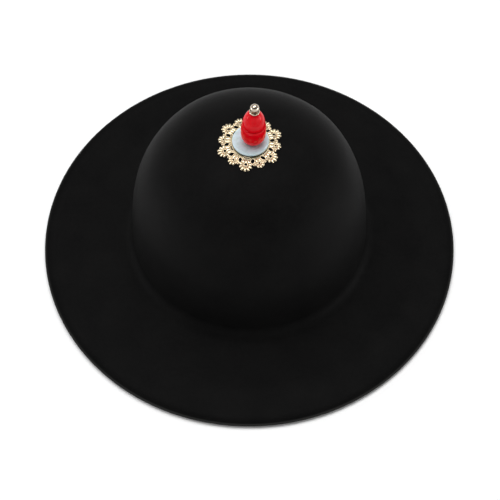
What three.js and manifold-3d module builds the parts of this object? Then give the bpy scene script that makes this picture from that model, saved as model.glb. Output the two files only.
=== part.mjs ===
// A wide-brimmed round-crown felt hat with a small beaded ornament on the crown's top.
// Millimetres, +Z up. The origin is on the surface that the brim rests on, under the middle of the hat.
// +X is the viewer's right and -Y is the side that faces the viewer.

import * as THREE from "three";
import { TessellateModifier } from "three/addons/modifiers/TessellateModifier.js";
import { mergeVertices } from "three/addons/utils/BufferGeometryUtils.js";
import Module from "manifold-3d";

const wasm = await Module();
wasm.setup();

// Driving dimensions of the felt
const FELT = 2.0;
const BRIM_RADIUS = 165;
const CROWN_RADIUS = 92.6;
const CROWN_HEIGHT = 123.75;
const CROWN_ACROSS = 2.3;
const CROWN_UP = 3.264;
const CROWN_TAPER = 0.027;
const FOOT_SHARE = 0.075;
const FELT_SEGMENTS = 60;

// The brim's section from the foot of the crown outwards: straight runs have a length, bends have a
// radius and a turn in degrees, positive where the section turns upwards. The slope's length is worked
// out, because it fills what the other runs leave between the crown and the edge.
const SLOPE_ANGLE = 17;
const BRIM_SECTION = [
  { run: "cove", radius: 13, heading: -SLOPE_ANGLE, steps: 5 },
  { run: "slope", length: null },
  { run: "foot", radius: 55, heading: 0, steps: 3 },
  { run: "rest", length: 10 },
  { run: "lip", radius: 14, heading: 24, steps: 3 },
  { run: "edge", length: 1.6 },
];

// Driving dimensions of the ornament
const GAP = 0.3;
const PLATE_THICKNESS = 1.0;
const PLATE_RING_RADIUS = 20.1;
const PLATE_HOLE_RADIUS = 4.2;
const PLATE_LONGEST_EDGE = 9;
const PLATE_SHIFT = 0.2;
const DISC = { radius: 13.55, height: 2.5, bore: 3.2, corner: 1.2 };
const DISC_SHIFT = 0.95;
const STACK_SHIFT = 2.65;
const STACK_LEAN = 1.75;
const POST_RADIUS = 0.8;
const POST_HEAD_RADIUS = 7;
const POST_HEAD_THICKNESS = 1.2;
const BORE_RADIUS = POST_RADIUS + GAP;
const LOWER_BEAD = {
  radius: 9.31, height: 18.9, foot: 6.0, shoulder: 8.5, widest: 0.53, footBend: 2.6, shoulderBend: 3.2,
};
const UPPER_BEAD = { radius: 8.44, height: 14.0, top: 3.23, across: 1.84, up: 1.725, corner: 0.7 };
const COLLAR = { radius: 3.8, height: 1.3, foot: 2.9, rim: 0.42, dish: 0.35 };
const BALL_RADIUS = 3.27;
const BALL_BORE_DEPTH = 3.0;

// Petals of the plate: a lobe of a given radius whose centre is on the petal circle, with a hole in it.
// The first petal's angle is counted from +X towards +Y.
const PETAL_STEP = 60;
const PETAL_CIRCLE = 19.6;
const PETALS = [
  { size: "large", first: -38, lobe: 5.3, hole: 0.95 },
  { size: "small", first: -68, lobe: 3.9, hole: 0.8 },
];
const SLOT = { circle: 17.0, halfLength: 1.9, halfWidth: 0.75, lean: 24 };

const FINISH = {
  felt: { color: 0x131313, roughness: 0.95, metalness: 0.0 },
  gold: { color: 0xd8c8a6, roughness: 0.25, metalness: 1.0 },
  opal: { color: 0xbcc8ca, roughness: 0.15, metalness: 0.0 },
  red: { color: 0xb8141c, roughness: 0.06, metalness: 0.0 },
  steel: { color: 0x9a9a98, roughness: 0.4, metalness: 1.0 },
};

const radians = THREE.MathUtils.degToRad;

// A point of a section with the direction that the section runs in there.
function sectionPoint(r, z, heading) {
  return { r, z, heading };
}

// Radius and height of the crown's outside, by an angle that is 0 at the foot and a right angle at the top.
function crownAt(angle) {
  const share = Math.sin(angle) ** (2 / CROWN_UP);
  const taper = 1 - CROWN_TAPER * share;
  const r = CROWN_RADIUS * Math.cos(angle) ** (2 / CROWN_ACROSS) * taper;
  return { r, z: CROWN_HEIGHT * share };
}

// How far the crown's outside is below its top at a radius near the middle.
function domeDrop(radius) {
  let low = radians(45);
  let high = radians(90);
  for (let i = 0; i < 40; i += 1) {
    const middle = (low + high) / 2;
    if (crownAt(middle).r > radius) low = middle;
    else high = middle;
  }
  return CROWN_HEIGHT - crownAt(high).z;
}

// The crown's section from its top, which is on the axis, down to its foot.
function crownSection(steps) {
  const footAngle = Math.asin(FOOT_SHARE ** (CROWN_UP / 2));
  const topAngle = Math.PI / 2;
  const points = [sectionPoint(0, CROWN_HEIGHT, 0)];
  for (let i = 1; i <= steps; i += 1) {
    const angle = topAngle + (footAngle - topAngle) * (i / steps);
    const here = crownAt(angle);
    const after = crownAt(angle - 1e-4);
    points.push(sectionPoint(here.r, here.z, Math.atan2(after.z - here.z, after.r - here.r)));
  }
  return points;
}

// One bend or straight run, added to a list of section points.
function addRun(points, run, slopeLength) {
  const start = points[points.length - 1];
  if (run.radius === undefined) {
    const length = run.length ?? slopeLength;
    const r = start.r + length * Math.cos(start.heading);
    const z = start.z + length * Math.sin(start.heading);
    points.push(sectionPoint(r, z, start.heading));
    return;
  }
  const turn = radians(run.heading) - start.heading;
  for (let i = 1; i <= run.steps; i += 1) {
    const heading = start.heading + turn * (i / run.steps);
    const r = start.r + run.radius * (Math.sin(heading) - Math.sin(start.heading));
    const z = start.z - run.radius * (Math.cos(heading) - Math.cos(start.heading));
    points.push(sectionPoint(r, z, heading));
  }
}

function brimSection(start, slopeLength) {
  const points = [start];
  for (const run of BRIM_SECTION) addRun(points, run, slopeLength);
  return points.slice(1);
}

// The whole outer section, moved so that the underside of the run "rest" is at height zero.
function feltSection() {
  const crown = crownSection(13);
  const foot = crown[crown.length - 1];
  const shortBrim = brimSection(foot, 0);
  const edge = shortBrim[shortBrim.length - 1];
  const edgeRadius = BRIM_RADIUS - (FELT / 2) * (1 + Math.sin(edge.heading));
  const missing = edgeRadius - edge.r;
  const brim = brimSection(foot, missing / Math.cos(radians(SLOPE_ANGLE)));
  const restHeight = Math.min(...brim.map((point) => point.z));
  const lift = FELT - restHeight;
  const section = [...crown, ...brim];
  for (const point of section) point.z += lift;
  return { section, top: CROWN_HEIGHT + lift };
}

// The inside of the felt is the outside moved in by the felt's thickness.
function underside(point) {
  const r = point.r + FELT * Math.sin(point.heading);
  const z = point.z - FELT * Math.cos(point.heading);
  return sectionPoint(r, z, point.heading);
}

// Round cut edge of the brim, between the outside and the inside.
function cutEdge(last, steps) {
  const middle = {
    r: last.r + (FELT / 2) * Math.sin(last.heading),
    z: last.z - (FELT / 2) * Math.cos(last.heading),
  };
  const points = [];
  for (let i = 1; i < steps; i += 1) {
    const turn = last.heading + Math.PI / 2 - Math.PI * (i / steps);
    const r = middle.r + (FELT / 2) * Math.cos(turn);
    const z = middle.z + (FELT / 2) * Math.sin(turn);
    points.push(sectionPoint(r, z, turn));
  }
  return points;
}

// A closed body of revolution from a section that starts and ends on the axis, or that closes on itself.
// The section runs with the material on its left, seen with the radius to the right and the height up.
function turned(section, segments) {
  const points = section.map((point) => new THREE.Vector2(point.r, point.z));
  const geometry = new THREE.LatheGeometry(points, segments);
  geometry.rotateX(Math.PI / 2);
  return geometry;
}

function closed(section) {
  return [...section, section[0]];
}

// The same closed mesh as a solid that can be cut.
function solid(geometry) {
  geometry.deleteAttribute("normal");
  geometry.deleteAttribute("uv");
  const merged = mergeVertices(geometry, 1e-4);
  const corners = merged.getIndex().array;
  const triVerts = [];
  for (let i = 0; i < corners.length; i += 3) {
    const [a, b, c] = corners.slice(i, i + 3);
    if (a !== b && b !== c && c !== a) triVerts.push(a, b, c);
  }
  const vertProperties = new Float32Array(merged.getAttribute("position").array);
  const mesh = new wasm.Mesh({ numProp: 3, vertProperties, triVerts: new Uint32Array(triVerts) });
  return new wasm.Manifold(mesh);
}

function asGeometry(manifold) {
  const mesh = manifold.getMesh();
  const geometry = new THREE.BufferGeometry();
  geometry.setAttribute("position", new THREE.BufferAttribute(mesh.vertProperties, 3));
  geometry.setIndex(new THREE.BufferAttribute(mesh.triVerts, 1));
  return geometry;
}

// The pin's hole through the top of the crown, on the leaning axis of the beads.
function pinHole(discTop) {
  const length = 4 * (DISC.height + PLATE_THICKNESS + FELT);
  const hole = new THREE.CylinderGeometry(BORE_RADIUS, BORE_RADIUS, length, 12);
  hole.rotateX(Math.PI / 2);
  hole.rotateY(radians(STACK_LEAN));
  hole.translate(STACK_SHIFT, 0, discTop);
  return hole;
}

// The felt is one closed wall from the top of the crown to the brim's edge and back along the inside.
function feltGeometry(outside, discTop) {
  const inside = outside.map(underside).reverse();
  const edge = cutEdge(outside[outside.length - 1], 4);
  const wall = turned([...outside, ...edge, ...inside].reverse(), FELT_SEGMENTS);
  return asGeometry(solid(wall).subtract(solid(pinHole(discTop))));
}

// The disc is a ring with a straight bore and rounded outer corners.
function discSection({ radius, height, bore, corner }, steps) {
  const section = [{ r: bore, z: 0 }];
  for (const side of [-1, 1]) {
    const centre = side < 0 ? corner : height - corner;
    const firstTurn = side < 0 ? -Math.PI / 2 : 0;
    for (let i = 0; i <= steps; i += 1) {
      const turn = firstTurn + (Math.PI / 2) * (i / steps);
      const r = radius - corner + corner * Math.cos(turn);
      section.push({ r, z: centre + corner * Math.sin(turn) });
    }
  }
  section.push({ r: bore, z: height });
  return closed(section);
}

// The lower bead is a barrel: its side curves in a long way to the foot and a little to the shoulder.
function lowerBeadSection(steps) {
  const { radius, height, foot, shoulder, widest, footBend, shoulderBend } = LOWER_BEAD;
  const section = [{ r: BORE_RADIUS, z: 0 }];
  for (let i = 0; i <= steps; i += 1) {
    const share = i / steps;
    const below = Math.max(0, 1 - share / widest) ** footBend;
    const above = Math.max(0, (share - widest) / (1 - widest)) ** shoulderBend;
    section.push({ r: radius - (radius - foot) * below - (radius - shoulder) * above, z: height * share });
  }
  section.push({ r: BORE_RADIUS, z: height });
  return closed(section);
}

// The upper bead is a bullet: widest at its foot, and narrowing ever faster to the collar's seat.
function upperBeadSection(steps) {
  const { radius, height, top, across, up, corner } = UPPER_BEAD;
  const section = [{ r: BORE_RADIUS, z: 0 }, { r: radius - corner, z: 0 }];
  const lost = 1 - (top / radius) ** across;
  for (let i = 0; i <= steps; i += 1) {
    const share = i / steps;
    const r = radius * (1 - lost * share ** up) ** (1 / across);
    section.push({ r, z: corner + (height - corner) * share });
  }
  section.push({ r: BORE_RADIUS, z: height });
  return closed(section);
}

// The collar is a shallow dish: a flat foot, a flared side, a round rim and a hollow inside.
function collarSection(steps) {
  const { radius, height, foot, rim, dish } = COLLAR;
  const section = [{ r: BORE_RADIUS, z: 0 }, { r: foot, z: 0 }];
  for (let i = 0; i <= steps; i += 1) {
    const turn = radians(-40 + 220 * (i / steps));
    section.push({ r: radius - rim + rim * Math.cos(turn), z: height - rim + rim * Math.sin(turn) });
  }
  section.push({ r: radius - 2.6 * rim, z: dish }, { r: BORE_RADIUS, z: dish });
  return closed(section);
}

// The ball has a blind bore in its underside, where the post ends.
function ballSection(steps) {
  const first = Math.acos(BORE_RADIUS / BALL_RADIUS);
  const section = [{ r: 0, z: BALL_BORE_DEPTH }, { r: BORE_RADIUS, z: BALL_BORE_DEPTH }];
  const centre = BALL_RADIUS * Math.sin(first);
  for (let i = 0; i < steps; i += 1) {
    const turn = -first + (first + Math.PI / 2) * (i / steps);
    section.push({ r: BALL_RADIUS * Math.cos(turn), z: centre + BALL_RADIUS * Math.sin(turn) });
  }
  section.push({ r: 0, z: centre + BALL_RADIUS });
  return section;
}

function postSection(length) {
  return [
    { r: 0, z: -POST_HEAD_THICKNESS },
    { r: POST_HEAD_RADIUS, z: -POST_HEAD_THICKNESS },
    { r: POST_HEAD_RADIUS, z: 0 },
    { r: POST_RADIUS, z: 0 },
    { r: POST_RADIUS, z: length },
    { r: 0, z: length },
  ];
}

// Every petal with its angle: large and small ones take turns round the plate.
function petals() {
  const all = [];
  for (const petal of PETALS) {
    for (let i = 0; i < 360 / PETAL_STEP; i += 1) {
      all.push({ ...petal, angle: radians(petal.first + i * PETAL_STEP) });
    }
  }
  return all;
}

// The plate's outline: the farthest of the ring and of the petals' lobes in each direction.
function outlineRadius(angle) {
  let radius = PLATE_RING_RADIUS;
  for (const petal of petals()) {
    const across = PETAL_CIRCLE * Math.sin(angle - petal.angle);
    const along = PETAL_CIRCLE * Math.cos(angle - petal.angle);
    if (along > 0 && Math.abs(across) < petal.lobe) {
      radius = Math.max(radius, along + Math.sqrt(petal.lobe ** 2 - across ** 2));
    }
  }
  return radius;
}

function ovalHole(circle, angle, halfLength, halfWidth, lean) {
  const hole = new THREE.Path();
  const x = circle * Math.cos(angle);
  const y = circle * Math.sin(angle);
  hole.absellipse(x, y, halfLength, halfWidth, 0, Math.PI * 2, true, angle + lean);
  return hole;
}

function plateShape() {
  const outline = [];
  const steps = 120;
  for (let i = 0; i < steps; i += 1) {
    const angle = (i / steps) * Math.PI * 2;
    const radius = outlineRadius(angle);
    outline.push(new THREE.Vector2(radius * Math.cos(angle), radius * Math.sin(angle)));
  }
  const shape = new THREE.Shape(outline);
  shape.holes.push(ovalHole(0, 0, PLATE_HOLE_RADIUS, PLATE_HOLE_RADIUS, 0));
  for (const petal of petals()) {
    const side = petal.size === "large" ? 1 : -1;
    const between = petal.angle + radians(PETAL_STEP / 4);
    shape.holes.push(ovalHole(PETAL_CIRCLE, petal.angle, petal.hole, petal.hole, 0));
    const lean = radians(SLOT.lean) * -side;
    shape.holes.push(ovalHole(SLOT.circle, between, SLOT.halfLength, SLOT.halfWidth, lean));
  }
  return shape;
}

// The plate is cut flat, its long edges are divided, and then it is bent down over the crown.
function plateGeometry() {
  const options = { depth: PLATE_THICKNESS, bevelEnabled: false, curveSegments: 5 };
  const flat = new THREE.ExtrudeGeometry(plateShape(), options);
  const geometry = new TessellateModifier(PLATE_LONGEST_EDGE, 6).modify(flat);
  const position = geometry.getAttribute("position");
  for (let i = 0; i < position.count; i += 1) {
    const radius = Math.hypot(position.getX(i), position.getY(i));
    position.setZ(i, position.getZ(i) - domeDrop(radius));
  }
  return geometry;
}

function piece(name, geometry, finish, height) {
  const mesh = new THREE.Mesh(geometry, new THREE.MeshStandardMaterial(finish));
  mesh.name = name;
  mesh.position.z = height;
  return mesh;
}

// The beads, the collar, the ball and the post stand on one axis that leans a little to the right.
function beadStack(discTop, crownTop) {
  const stack = new THREE.Group();
  stack.position.set(STACK_SHIFT, 0, discTop);
  stack.rotation.y = radians(STACK_LEAN);
  const tiltRoom = LOWER_BEAD.foot * Math.sin(radians(STACK_LEAN));
  const lowerFoot = GAP + tiltRoom;
  const upperFoot = lowerFoot + LOWER_BEAD.height + GAP;
  const collarFoot = upperFoot + UPPER_BEAD.height + GAP;
  const ballFoot = collarFoot + COLLAR.height + GAP;
  const headTop = crownTop - FELT - discTop - GAP - POST_HEAD_RADIUS * Math.sin(radians(STACK_LEAN));
  const postLength = ballFoot + BALL_BORE_DEPTH - GAP - headTop;
  stack.add(
    piece("lower_red_bead", turned(lowerBeadSection(12), 28), FINISH.red, lowerFoot),
    piece("upper_red_bead", turned(upperBeadSection(10), 28), FINISH.red, upperFoot),
    piece("gold_collar", turned(collarSection(4), 24), FINISH.gold, collarFoot),
    piece("gold_ball", turned(ballSection(9), 20), FINISH.gold, ballFoot),
    piece("finial_post", turned(postSection(postLength), 12), FINISH.steel, headTop),
  );
  return stack;
}

function hat() {
  const { section, top } = feltSection();
  const plateFoot = top + GAP;
  const discFoot = plateFoot + PLATE_THICKNESS + GAP;
  const plate = piece("filigree_plate", plateGeometry(), FINISH.gold, plateFoot);
  plate.position.x = PLATE_SHIFT;
  const disc = piece("opal_disc", turned(discSection(DISC, 3), 36), FINISH.opal, discFoot);
  disc.position.x = DISC_SHIFT;
  const group = new THREE.Group();
  const discTop = discFoot + DISC.height;
  group.add(piece("felt_body", feltGeometry(section, discTop), FINISH.felt, 0));
  group.add(plate, disc, beadStack(discTop, top));
  return group;
}

export default hat();
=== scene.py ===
# %% [markdown]
# A black felt hat with a round crown, a wide brim and a small beaded ornament on its very top.
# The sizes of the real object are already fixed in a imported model. This lesson loads that model as a
# frame, builds a finer visible piece in the place of each of its parts, and gives each one its finish.
# All lengths are metres, +Z is up, and the brim rests on the plane where z is 0.

# %% Load the frame
import math

import bmesh
import bpy
import numpy as np
from mathutils import Matrix, Vector
from mathutils.geometry import delaunay_2d_cdt


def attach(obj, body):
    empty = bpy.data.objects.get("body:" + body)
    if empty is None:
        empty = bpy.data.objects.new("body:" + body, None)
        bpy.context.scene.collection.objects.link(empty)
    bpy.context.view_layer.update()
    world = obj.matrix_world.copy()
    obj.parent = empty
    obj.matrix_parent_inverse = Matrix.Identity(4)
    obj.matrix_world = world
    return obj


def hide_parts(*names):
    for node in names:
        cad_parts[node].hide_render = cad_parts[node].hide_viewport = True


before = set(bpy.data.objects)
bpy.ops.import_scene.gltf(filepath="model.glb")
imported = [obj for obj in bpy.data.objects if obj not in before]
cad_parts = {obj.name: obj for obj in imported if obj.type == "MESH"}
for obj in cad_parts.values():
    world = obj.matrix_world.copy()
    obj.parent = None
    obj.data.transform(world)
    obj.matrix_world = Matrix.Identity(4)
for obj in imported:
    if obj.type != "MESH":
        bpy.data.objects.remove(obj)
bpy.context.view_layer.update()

MM = 0.001
scene = bpy.context.scene
print("nodes:", ", ".join(sorted(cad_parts)))


# %% [markdown]
# The camera stands in front of the hat and looks down on it steeply, at about 60 degrees, so the crown
# hides the back of the brim. A long lens keeps the perspective mild. The camera's place is worked out
# from the point it looks at, the angle and the distance, which are easier to read than three coordinates.

# %% Camera
LOOK_AT = Vector((0.55, -18.3, 15.9)) * MM
LOOK_DOWN = math.radians(59.57)
DISTANCE = 1.2075
LENS = 109.24
SENSOR_WIDTH = 36

camera_data = bpy.data.cameras.new("camera")
camera_data.lens = LENS
camera_data.sensor_width = SENSOR_WIDTH
camera = bpy.data.objects.new("camera", camera_data)
backwards = Vector((0, -math.cos(LOOK_DOWN), math.sin(LOOK_DOWN)))
camera.location = LOOK_AT + backwards * DISTANCE
camera.rotation_euler = (math.pi / 2 - LOOK_DOWN, 0, 0)
scene.collection.objects.link(camera)
scene.camera = camera
print("camera at", [round(value, 3) for value in camera.location])


# %% [markdown]
# Shapes and materials are both made with node trees, so a helper for them comes first. A Tree adds any
# node in one call: its type, its settings, and the values or links of its sockets. Settings come before
# sockets, because a setting such as a data type decides which sockets a node shows at all.

# %% A tree of nodes
def open_socket(sockets, key):
    """A socket by its name or its number, counting only those that the node shows."""
    shown = [socket for socket in sockets if socket.enabled]
    if isinstance(key, int):
        return shown[key]
    return next(socket for socket in shown if socket.name == key)


def set_stops(ramp, stops):
    """Gives a colour ramp its stops, each with a position and a colour."""
    while len(ramp.elements) < len(stops):
        ramp.elements.new(1.0)
    for element, (position, colour) in zip(ramp.elements, stops):
        element.position = position
        element.color = (*colour, 1.0)


class Tree:
    """A node tree that grows by one call for each node."""

    def __init__(self, tree):
        self.tree = tree

    def node(self, kind, settings=None, sockets=None, output=0):
        """Adds a node with its settings, gives its sockets values or wires, and returns an output."""
        made = self.tree.nodes.new(kind)
        for name, value in (settings or {}).items():
            if name == "stops":
                set_stops(made.color_ramp, value)
            else:
                setattr(made, name, value)
        for key, value in (sockets or {}).items():
            socket = open_socket(made.inputs, key)
            for one in value if isinstance(value, list) else [value]:
                if isinstance(one, Wire):
                    self.tree.links.new(one.socket, socket)
                else:
                    socket.default_value = one
        return Wire(self, open_socket(made.outputs, output)) if len(made.outputs) else made


# %% [markdown]
# A Wire is one output of a node. Sums and products of wires are written as plain arithmetic, and each
# operator adds the Math node that works it out. A formula in the text is then a chain of nodes in the tree.
# Colours don't go through Math nodes, which would turn them grey, so mixing them has its own helper.

# %% Arithmetic on wires
class Wire:
    """One output socket. Arithmetic on it adds the Math node that works it out."""

    def __init__(self, tree, socket):
        self.tree = tree
        self.socket = socket

    def output(self, name):
        """Another output of the same node."""
        return Wire(self.tree, open_socket(self.socket.node.outputs, name))

    def maths(self, operation, *values):
        """The result of one Math node."""
        sockets = dict(enumerate(values))
        return self.tree.node("ShaderNodeMath", {"operation": operation}, sockets)

    def __add__(self, other):
        return self.maths("ADD", self, other)

    def __sub__(self, other):
        return self.maths("SUBTRACT", self, other)

    def __mul__(self, other):
        return self.maths("MULTIPLY", self, other)

    def __truediv__(self, other):
        return self.maths("DIVIDE", self, other)

    def __pow__(self, other):
        return self.maths("POWER", self, other)

    def __radd__(self, other):
        return self.maths("ADD", other, self)

    def __rsub__(self, other):
        return self.maths("SUBTRACT", other, self)

    def __rmul__(self, other):
        return self.maths("MULTIPLY", other, self)

    def __rtruediv__(self, other):
        return self.maths("DIVIDE", other, self)


def mixed(tree, factor, low, high):
    """A colour between two others, by a factor from 0 to 1."""
    settings = {"data_type": "RGBA"}
    return tree.node("ShaderNodeMix", settings, {"Factor": factor, "A": low, "B": high})


def grey(value):
    """An opaque colour without a hue."""
    return (value, value, value, 1.0)


# %% [markdown]
# A piece begins as a simple start mesh, a node group turns it into the full shape, and the result is kept
# as one plain mesh. The group's inputs are named, and the modifier is given their values by the sockets'
# identifiers before Blender first evaluates it. After that the modifier isn't needed any more.

# %% Run a shape tree
def new_shape_tree(name, inputs):
    """A geometry node group with named inputs, and a wire for each of them."""
    group = bpy.data.node_groups.new(name, "GeometryNodeTree")
    group.interface.new_socket("Geometry", in_out="INPUT", socket_type="NodeSocketGeometry")
    for label, kind in inputs.items():
        group.interface.new_socket(label, in_out="INPUT", socket_type=kind)
    group.interface.new_socket("Geometry", in_out="OUTPUT", socket_type="NodeSocketGeometry")
    tree = Tree(group)
    start = tree.node("NodeGroupInput")
    return tree, {label: start.output(label) for label in ["Geometry", *inputs]}


def end_shape_tree(tree, geometry, material, chosen=None, chosen_material=None):
    """Closes a shape tree: real geometry with its material, and another one on chosen faces."""
    real = tree.node("GeometryNodeRealizeInstances", {}, {0: geometry})
    done = tree.node("GeometryNodeSetMaterial", {}, {"Geometry": real, "Material": material})
    if chosen:
        sockets = {"Geometry": done, "Selection": chosen, "Material": chosen_material}
        done = tree.node("GeometryNodeSetMaterial", {}, sockets)
    tree.node("NodeGroupOutput", {}, {0: done})
    print("shape tree", tree.tree.name, "has", len(tree.tree.nodes), "nodes")


def evaluated_mesh(carrier):
    """The mesh that an object shows with its modifiers, as plain data."""
    graph = bpy.context.evaluated_depsgraph_get()
    return bpy.data.meshes.new_from_object(carrier.evaluated_get(graph))


def new_piece(name, mesh):
    """An object at the origin that shows a mesh."""
    piece = bpy.data.objects.new(name, mesh)
    scene.collection.objects.link(piece)
    return piece


def reshape(piece, tree, values):
    """Replaces a piece's mesh by what a shape tree makes of it."""
    start = piece.data
    modifier = piece.modifiers.new("shape", "NODES")
    modifier.node_group = tree.tree
    for item in tree.tree.interface.items_tree:
        if item.in_out == "INPUT" and item.name in values:
            modifier[item.identifier] = values[item.name]
    mesh = evaluated_mesh(piece)
    piece.modifiers.remove(modifier)
    piece.data = mesh
    bpy.data.meshes.remove(start)
    mesh.name = piece.name


# %% [markdown]
# A mesh that comes out of a tree may hold doubled points where two parts of it meet, and faces that look
# inwards. One helper puts both right, marks the edges that stay crisp, and counts the open edges, because
# a solid piece has none. The other tells the frame two things about a finished piece: the body that it
# rides on, and the imported part that it stands in for, which it hides.

# %% Close a mesh and put it in its place
WELD = 1e-7
NO_SHARP_EDGE = 180


def closed_up(piece, sharp_from=NO_SHARP_EDGE):
    """Merges doubles, turns faces outwards and marks the edges that bend more than an angle."""
    work = bmesh.new()
    work.from_mesh(piece.data)
    bmesh.ops.remove_doubles(work, verts=work.verts, dist=WELD)
    bmesh.ops.recalc_face_normals(work, faces=work.faces)
    loose = sum(1 for edge in work.edges if not edge.is_manifold)
    work.to_mesh(piece.data)
    work.free()
    piece.data.set_sharp_from_angle(angle=math.radians(sharp_from))
    triangles = sum(len(polygon.vertices) - 2 for polygon in piece.data.polygons)
    print(piece.name, "has", triangles, "triangles and", loose, "open edges")
    return piece


def install(piece, node):
    """Puts a finished piece in the place of its part in the frame."""
    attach(piece, "root")
    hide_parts(node)


# %% [markdown]
# Almost every piece of this hat is round: the felt, the disc, the beads, the ball. On a lathe, or on a
# hat block, such a form comes from one section turned about an axis. Spin or Screw would do it too. A node
# tree shows the rule plainly: a grid has one column for each step round the axis and one row for each
# point of the section, and each grid point takes its section point turned by its column's angle.

# %% The turning tree
MERGE = 1e-6


def turning_tree():
    """A tree that turns the start mesh's points, a section in the XZ plane, about the Z axis."""
    inputs = {"Turns": "NodeSocketInt", "Finish": "NodeSocketMaterial"}
    tree, given = new_shape_tree("turned_section", inputs)
    size = tree.node("GeometryNodeAttributeDomainSize", {}, {"Geometry": given["Geometry"]})
    rows = size.output("Point Count")
    grid = tree.node(
        "GeometryNodeMeshGrid", {}, {"Vertices X": given["Turns"] + 1, "Vertices Y": rows}
    )
    index = tree.node("GeometryNodeInputIndex")
    column = index.maths("FLOOR", index / rows)
    row = index - column * rows
    position = tree.node("GeometryNodeInputPosition")
    section = tree.node(
        "GeometryNodeSampleIndex",
        {"data_type": "FLOAT_VECTOR"},
        {"Geometry": given["Geometry"], "Value": position, "Index": row},
    )
    turned = tree.node(
        "ShaderNodeVectorRotate",
        {"rotation_type": "Z_AXIS"},
        {"Vector": section, "Angle": column / given["Turns"] * math.tau},
    )
    placed = tree.node("GeometryNodeSetPosition", {}, {"Geometry": grid, "Position": turned})
    merged = tree.node("GeometryNodeMergeByDistance", {}, {"Geometry": placed, "Distance": MERGE})
    smooth = tree.node("GeometryNodeSetShadeSmooth", {}, {0: merged})
    end_shape_tree(tree, smooth, given["Finish"])
    return tree


TURNING = turning_tree()


# %% [markdown]
# A section is a list of points, each a radius and a height. Most of it is arcs and straight runs, as on a
# workshop drawing. Points at equal distances give a turned form even faces, which shade evenly too.

# %% Drawing a section
def section_mesh(name, section):
    """A start mesh that holds a section as points in the XZ plane."""
    mesh = bpy.data.meshes.new(name + "_section")
    mesh.from_pydata([(r, 0, z) for r, z in section], [], [])
    return mesh


def even(points, count):
    """The same open line with its points at equal distances along it."""
    points = np.array(points, float)
    steps = np.hypot(*np.diff(points, axis=0).T)
    along = np.concatenate([[0], np.cumsum(steps)])
    places = np.linspace(0, along[-1], count)
    return np.column_stack([np.interp(places, along, column) for column in points.T])


def arc(centre, radius, start, end, count):
    """Points on an arc in the section's plane, by angles in degrees."""
    turns = np.radians(np.linspace(start, end, count))
    return np.column_stack([centre[0] + radius * np.cos(turns), centre[1] + radius * np.sin(turns)])


# %% [markdown]
# The felt is one blocked sheet, 2 mm thick. Its outside is a section of two stretches. The crown follows
# a rounded-square curve, fuller than an ellipse, that leans in a little towards the top. The brim is a
# short chain of bends and straight runs: a tight cove at the foot of the crown, a gentle slope, the ring
# that the hat rests on, and a lip that turns up. The runs are a table, because a table is easy to change.
# The slope has no length of its own: it is as long as the brim's radius leaves room for.

# %% Sizes of the felt
FELT = 2.0 * MM
CROWN_RADIUS = 92.6 * MM
CROWN_HEIGHT = 123.75 * MM
CROWN_ACROSS = 2.3
CROWN_UP = 3.264
CROWN_TAPER = 0.027
FOOT_SHARE = 0.075
BRIM_RADIUS = 165 * MM
SLOPE = 17
BRIM_RUNS = [
    {"run": "cove", "radius": 13 * MM, "heading": -SLOPE},
    {"run": "slope", "length": None},
    {"run": "foot", "radius": 55 * MM, "heading": 0},
    {"run": "rest", "length": 10 * MM},
    {"run": "lip", "radius": 14 * MM, "heading": 24},
    {"run": "edge", "length": 1.6 * MM},
]
CROWN_POINTS = 84
BRIM_POINTS = 66
BEND_POINTS = 13
FINE_POINTS = 800
CUT_EDGE_POINTS = 9
print("brim", BRIM_RADIUS * 2, "across, crown", CROWN_HEIGHT, "high")


# %% [markdown]
# The crown's curve is worked out for each angle from its foot to its top, first with many points and then
# evenly with a few. The brim starts where the crown ends, in the direction that the crown ends in, so the
# sheet has no crease there.

# %% Outside of the felt
def crown_at(angle):
    """Radius and height of the crown's outside: angle is 0 at its foot, a right angle at its top."""
    share = np.sin(angle) ** (2 / CROWN_UP)
    radius = CROWN_RADIUS * np.cos(angle) ** (2 / CROWN_ACROSS)
    return radius * (1 - CROWN_TAPER * share), CROWN_HEIGHT * share


def brim_line(start, heading, slope_length):
    """The brim's outside from the crown's foot outwards, and its last heading in radians."""
    line = [np.array(start)]
    for run in BRIM_RUNS:
        if "length" in run:
            length = slope_length if run["length"] is None else run["length"]
            line.append(line[-1] + length * np.array([math.cos(heading), math.sin(heading)]))
            continue
        final = math.radians(run["heading"])
        first = line[-1]
        for turn in np.linspace(heading, final, BEND_POINTS)[1:]:
            across = math.sin(turn) - math.sin(heading)
            up = math.cos(heading) - math.cos(turn)
            line.append(first + run["radius"] * np.array([across, up]))
        heading = final
    return line, heading


def felt_outside():
    """The outside of the felt, from the middle of the crown to the brim's edge."""
    foot_angle = math.asin(FOOT_SHARE ** (CROWN_UP / 2))
    angles = np.linspace(math.pi / 2, foot_angle, FINE_POINTS)
    radius, height = crown_at(angles[1:])
    crown = np.vstack([[0, CROWN_HEIGHT], np.column_stack([radius, height])])
    crown = even(crown, CROWN_POINTS)
    heading = math.atan2(*(crown[-1] - crown[-2])[::-1])
    short, last = brim_line(crown[-1], heading, 0)
    edge_radius = BRIM_RADIUS - FELT / 2 * (1 + math.sin(last))
    slope_length = (edge_radius - short[-1][0]) / math.cos(math.radians(SLOPE))
    brim, last = brim_line(crown[-1], heading, slope_length)
    line = np.vstack([crown[:-1], even(brim, BRIM_POINTS)])
    return line + [0, FELT - line[:, 1].min()]


outside = felt_outside()


# %% [markdown]
# The inside is the outside moved inwards by the felt's thickness, square to the sheet at every point. A
# half circle joins the two at the brim's edge, where the real felt is cut and rubbed round.

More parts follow.
